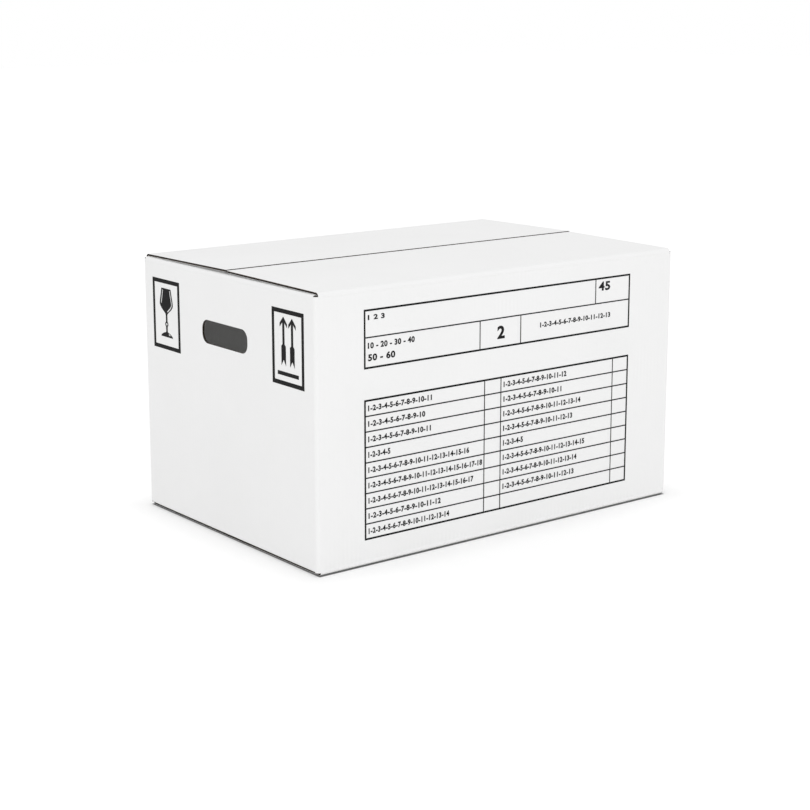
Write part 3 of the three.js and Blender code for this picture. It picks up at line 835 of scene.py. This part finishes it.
def add_camera():
    """The photograph's viewpoint, fitted to the carton's edges."""
    data = bpy.data.cameras.new("camera")
    data.lens = CAMERA_LENS
    data.sensor_width = 36
    data.shift_y = -CAMERA_SHIFT_DOWN
    data.clip_start = 0.05
    data.clip_end = 60
    camera = bpy.data.objects.new("camera", data)
    camera.location = CAMERA_PLACE
    camera.rotation_euler = (math.pi / 2 - CAMERA_PITCH, 0, -CAMERA_YAW)
    bpy.context.scene.collection.objects.link(camera)
    bpy.context.scene.camera = camera


def add_lamp(name, place, target, size, power):
    """A soft square lamp at a place, turned so that it looks at a target."""
    data = bpy.data.lights.new(name, "AREA")
    data.size = size
    data.energy = power
    lamp = bpy.data.objects.new(name, data)
    lamp.location = place
    lamp.rotation_euler = (Vector(target) - Vector(place)).to_track_quat("-Z", "Y").to_euler()
    bpy.context.scene.collection.objects.link(lamp)


def add_glow_inside():
    """A faint lamp in the shut carton, for the little light that white board lets through."""
    data = bpy.data.lights.new("glow_inside", "POINT")
    data.shadow_soft_size = GLOW_SIZE
    data.energy = GLOW_POWER
    lamp = bpy.data.objects.new("glow_inside", data)
    lamp.location = GLOW_PLACE
    lamp.visible_camera = False
    bpy.context.scene.collection.objects.link(lamp)


def seen_directly(tree):
    """One where a thing is seen straight, in a gloss or through glass, and nought elsewhere: the largest
    of the three kinds of ray."""
    rays = tree.nodes.new("ShaderNodeLightPath")
    gloss = value_node(tree, "ShaderNodeMath", operation="MAXIMUM")
    through = value_node(tree, "ShaderNodeMath", operation="MAXIMUM")
    tree.links.new(rays.outputs["Is Camera Ray"], gloss.inputs[0])
    tree.links.new(rays.outputs["Is Glossy Ray"], gloss.inputs[1])
    tree.links.new(gloss.outputs["Value"], through.inputs[0])
    tree.links.new(rays.outputs["Is Transmission Ray"], through.inputs[1])
    return through.outputs["Value"]


def add_world():
    """An even pale surround, plain white to the camera."""
    world = bpy.data.worlds.new("surround")
    bpy.context.scene.world = world
    world.use_nodes = True
    tree = world.node_tree
    back = tree.nodes["Background"]
    back.inputs["Color"].default_value = (1, 1, 1, 1)
    level = value_node(tree, "ShaderNodeMapRange")
    level.inputs["To Min"].default_value = WORLD_LEVEL
    level.inputs["To Max"].default_value = 1.0
    tree.links.new(seen_directly(tree), level.inputs["Value"])
    tree.links.new(level.outputs["Result"], back.inputs["Strength"])


def distance_from_carton(tree, half_x, half_y):
    """Distance on the floor from a middle rectangle: the length of what the sizes of x and y have beyond
    its half sides, or nought inside it."""
    place = tree.nodes.new("ShaderNodeTexCoord")
    size = value_node(tree, "ShaderNodeVectorMath", operation="ABSOLUTE")
    beyond = value_node(tree, "ShaderNodeVectorMath", operation="SUBTRACT")
    beyond.inputs[1].default_value = (half_x * MM, half_y * MM, 0)
    outside = value_node(tree, "ShaderNodeVectorMath", operation="MAXIMUM")
    length = value_node(tree, "ShaderNodeVectorMath", operation="LENGTH")
    tree.links.new(place.outputs["Object"], size.inputs[0])
    tree.links.new(size.outputs["Vector"], beyond.inputs[0])
    tree.links.new(beyond.outputs["Vector"], outside.inputs[0])
    tree.links.new(outside.outputs["Vector"], length.inputs[0])
    return length.outputs["Value"]


def add_floor():
    """A pale floor that keeps the carton's shadow and is white to the camera away from it. A dark line at
    the carton's foot is a painted contact shadow, and a smaller lift near the carton paints shade round it.
    """
    mesh = bpy.data.meshes.new("floor")
    side = FLOOR_HALF_SIDE
    corners = [(-side, -side, 0), (side, -side, 0), (side, side, 0), (-side, side, 0)]
    mesh.from_pydata(corners, [], [(0, 1, 2, 3)])
    floor = bpy.data.objects.new("floor", mesh)
    bpy.context.scene.collection.objects.link(floor)
    material, tree, shader = new_material("pale_floor")
    shader.inputs["Roughness"].default_value = 0.9
    shader.inputs["Emission Color"].default_value = (1, 1, 1, 1)
    away = distance_from_carton(tree, HALF_LENGTH, HALF_DEPTH)
    from_contact_shadow = distance_from_carton(tree, CONTACT_SHADOW_HALF_X, CONTACT_SHADOW_HALF_Y)
    # Painted contact shadow: the floor's colour falls to near black at the carton's foot and under it
    colour = value_node(tree, "ShaderNodeMapRange", interpolation_type="SMOOTHSTEP")
    colour.inputs["From Max"].default_value = CONTACT_SHADOW_REACH
    colour.inputs["To Min"].default_value = CONTACT_SHADOW_COLOUR
    colour.inputs["To Max"].default_value = FLOOR_COLOUR
    tree.links.new(from_contact_shadow, colour.inputs["Value"])
    tree.links.new(colour.outputs["Result"], shader.inputs["Base Color"])
    # Painted shade: the camera's lift is smaller near the carton, so the floor is darker round it
    level = value_node(tree, "ShaderNodeMapRange", interpolation_type="SMOOTHSTEP")
    level.inputs["From Max"].default_value = FLOOR_LIFT_REACH
    level.inputs["To Min"].default_value = FLOOR_LIFT_NEAR_PAINTED_SHADE
    level.inputs["To Max"].default_value = FLOOR_LIFT_FAR
    tree.links.new(away, level.inputs["Value"])
    lift = value_node(tree, "ShaderNodeMath", operation="MULTIPLY")
    tree.links.new(level.outputs["Result"], lift.inputs[1])
    tree.links.new(seen_directly(tree), lift.inputs[0])
    tree.links.new(lift.outputs["Value"], shader.inputs["Emission Strength"])
    mesh.materials.append(material)


def main():
    """The stage, the board pieces with their bodies, and the ink on them."""
    scene = bpy.context.scene
    scene.view_settings.view_transform = "Standard"
    add_camera()
    add_world()
    add_lamp("key", KEY_PLACE, KEY_TARGET, KEY_SIZE, KEY_POWER)
    add_glow_inside()
    add_floor()

    fibre = paper_group()
    washboard = washboard_group()
    papers = [paper_material(*paper, fibre, washboard) for paper in PAPERS]
    ink = ink_material(fibre)

    body = carton_board().mesh("carton_board", papers)
    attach(body, "carton")
    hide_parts("carton_sheet")
    for side, turns in (("front", 0), ("rear", 2)):
        flap = top_flap(turns).mesh(side + "_flap_board", papers)
        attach(flap, side + "_flap")
        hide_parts(side + "_top_flap")
        fold = top_fold(turns).mesh(side + "_fold_board", papers)
        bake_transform(fold)

    for name, node in frame["nodes"].items():
        if name.endswith("_form") or "mark" in name:
            node.data.materials.clear()
            node.data.materials.append(ink)
    for name, rows in (("header_numbers", header_numbers()), ("list_numbers", list_numbers())):
        piece = number_print(name, rows)
        piece.data.materials.append(ink)
        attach(piece, "carton")


main()
